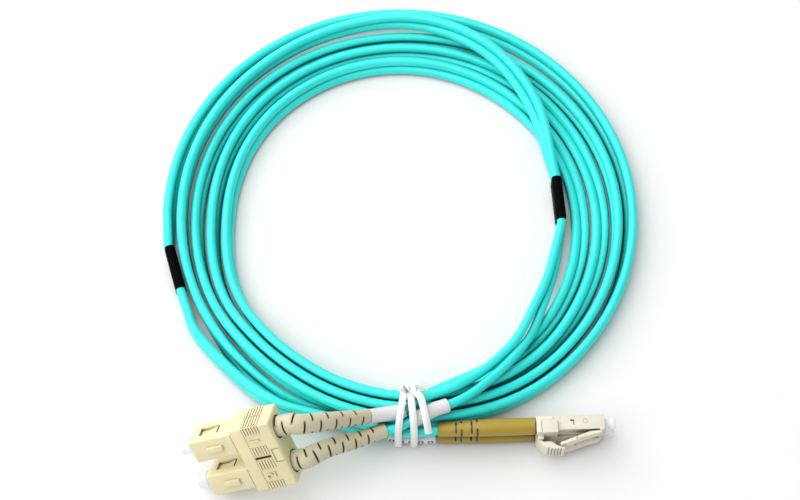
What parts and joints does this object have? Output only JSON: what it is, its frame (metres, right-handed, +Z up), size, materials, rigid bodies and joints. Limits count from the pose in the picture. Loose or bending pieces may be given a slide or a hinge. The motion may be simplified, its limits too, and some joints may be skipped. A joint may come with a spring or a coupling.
{
  "type": "duplex fibre patch cord",
  "caption": "Coiled and tied duplex fibre patch cord with a push-pull duplex plug on one end and a latching duplex plug on the other.",
  "frame": {"origin": "on the table, below the middle of the box around the two duplex plugs with their boots and caps", "axes": "+X along the line of the two plugs, from the push-pull plug to the latching plug; +Y from the plugs towards the middle of the coil; +Z up"},
  "size_m": [0.1508, 0.171, 0.0314],
  "materials": {
    "jacket_aqua": "satin",
    "shrink_black": "satin",
    "label_white": "matte",
    "tie_white": "satin",
    "cap_clear": "satin",
    "zirconia": "gloss",
    "steel": "satin",
    "fibre_buffer": "satin",
    "boot_gold": "satin",
    "boot_beige": "satin",
    "frame_beige": "satin",
    "plug_beige": "satin"
  },
  "bodies": {
    "cord": {"cord_coil": "jacket_aqua", "split_sleeve_sc": "shrink_black", "split_sleeve_lc": "shrink_black", "sc_leg_a": "jacket_aqua", "sc_leg_b": "jacket_aqua", "lc_leg_a": "jacket_aqua", "lc_leg_b": "jacket_aqua", "label_sc_a": "label_white", "label_sc_b": "label_white", "label_lc_b": "label_white", "twist_tie": "tie_white", "sc_frame_a": "frame_beige", "sc_body_a": "steel", "sc_crimp_a": "steel", "sc_boot_a": "boot_beige", "sc_spring_a": "steel", "sc_frame_b": "frame_beige", "sc_body_b": "steel", "sc_crimp_b": "steel", "sc_boot_b": "boot_beige", "sc_spring_b": "steel", "lc_clip": "plug_beige", "lc_housing_a": "plug_beige", "lc_body_a": "steel", "lc_crimp_a": "steel", "lc_boot_a": "boot_gold", "lc_spring_a": "steel", "lc_housing_b": "plug_beige", "lc_body_b": "steel", "lc_crimp_b": "steel", "lc_boot_b": "boot_gold", "lc_spring_b": "steel"},
    "sc_grip": {"sc_housing_a": "plug_beige", "sc_housing_b": "plug_beige", "sc_clip_upper": "plug_beige", "sc_clip_lower": "plug_beige"},
    "sc_ferrule_a": {"sc_ferrule_a": "zirconia", "sc_fibre_a": "fibre_buffer"},
    "sc_ferrule_b": {"sc_ferrule_b": "zirconia", "sc_fibre_b": "fibre_buffer"},
    "sc_cap_a": {"sc_cap_a": "cap_clear"},
    "sc_cap_b": {"sc_cap_b": "cap_clear"},
    "lc_ferrule_a": {"lc_ferrule_a": "zirconia", "lc_fibre_a": "fibre_buffer"},
    "lc_ferrule_b": {"lc_ferrule_b": "zirconia", "lc_fibre_b": "fibre_buffer"},
    "lc_cap_a": {"lc_cap_a": "cap_clear"},
    "lc_cap_b": {"lc_cap_b": "cap_clear"},
    "lc_trigger": {"lc_trigger": "plug_beige"},
    "lc_latch_a": {"lc_latch_a": "plug_beige"},
    "lc_latch_b": {"lc_latch_b": "plug_beige"}
  },
  "joints": [
    {"name": "sc_grip_slide", "type": "slide", "parent": "cord", "child": "sc_grip", "axis": [0.9183, 0.0642, 0.3907], "range_m": [0, 0.002], "stiffness_N_per_m": 300},
    {"name": "sc_ferrule_slide_a", "type": "slide", "parent": "cord", "child": "sc_ferrule_a", "axis": [0.9183, 0.0642, 0.3907], "range_m": [0, 0.001], "stiffness_N_per_m": 600, "deforming": ["sc_spring_a"]},
    {"name": "sc_ferrule_slide_b", "type": "slide", "parent": "cord", "child": "sc_ferrule_b", "axis": [0.9183, 0.0642, 0.3907], "range_m": [0, 0.001], "stiffness_N_per_m": 600, "deforming": ["sc_spring_b"]},
    {"name": "sc_cap_slide_a", "type": "slide", "parent": "sc_ferrule_a", "child": "sc_cap_a", "axis": [-0.9183, -0.0642, -0.3907], "range_m": [0, 0.012]},
    {"name": "sc_cap_slide_b", "type": "slide", "parent": "sc_ferrule_b", "child": "sc_cap_b", "axis": [-0.9183, -0.0642, -0.3907], "range_m": [0, 0.012]},
    {"name": "lc_ferrule_slide_a", "type": "slide", "parent": "cord", "child": "lc_ferrule_a", "axis": [-0.9993, -0.0384, 0], "range_m": [0, 0.0008], "stiffness_N_per_m": 600, "deforming": ["lc_spring_a"]},
    {"name": "lc_ferrule_slide_b", "type": "slide", "parent": "cord", "child": "lc_ferrule_b", "axis": [-0.9993, -0.0384, 0], "range_m": [0, 0.0008], "stiffness_N_per_m": 600, "deforming": ["lc_spring_b"]},
    {"name": "lc_cap_slide_a", "type": "slide", "parent": "lc_ferrule_a", "child": "lc_cap_a", "axis": [0.9993, 0.0384, 0], "range_m": [0, 0.01]},
    {"name": "lc_cap_slide_b", "type": "slide", "parent": "lc_ferrule_b", "child": "lc_cap_b", "axis": [0.9993, 0.0384, 0], "range_m": [0, 0.01]},
    {"name": "lc_trigger_hinge", "type": "hinge", "parent": "cord", "child": "lc_trigger", "pos_m": [0.04196, 0.00481, 0.00645], "axis": [0, 0, 1], "range_deg": [0, 10], "stiffness_Nm_per_rad": 0.02},
    {"name": "lc_latch_hinge_a", "type": "hinge", "parent": "cord", "child": "lc_latch_a", "pos_m": [0.06009, 0.00696, 0.00958], "axis": [0, 0, 1], "range_deg": [-6, 0]},
    {"name": "lc_latch_hinge_b", "type": "hinge", "parent": "cord", "child": "lc_latch_b", "pos_m": [0.06009, 0.00696, 0.00332], "axis": [0, 0, 1], "range_deg": [-6, 0]}
  ],
  "couplings": [
    {"joint": "lc_latch_hinge_a", "follows": "lc_trigger_hinge", "ratio": -0.6},
    {"joint": "lc_latch_hinge_b", "follows": "lc_trigger_hinge", "ratio": -0.6}
  ]
}
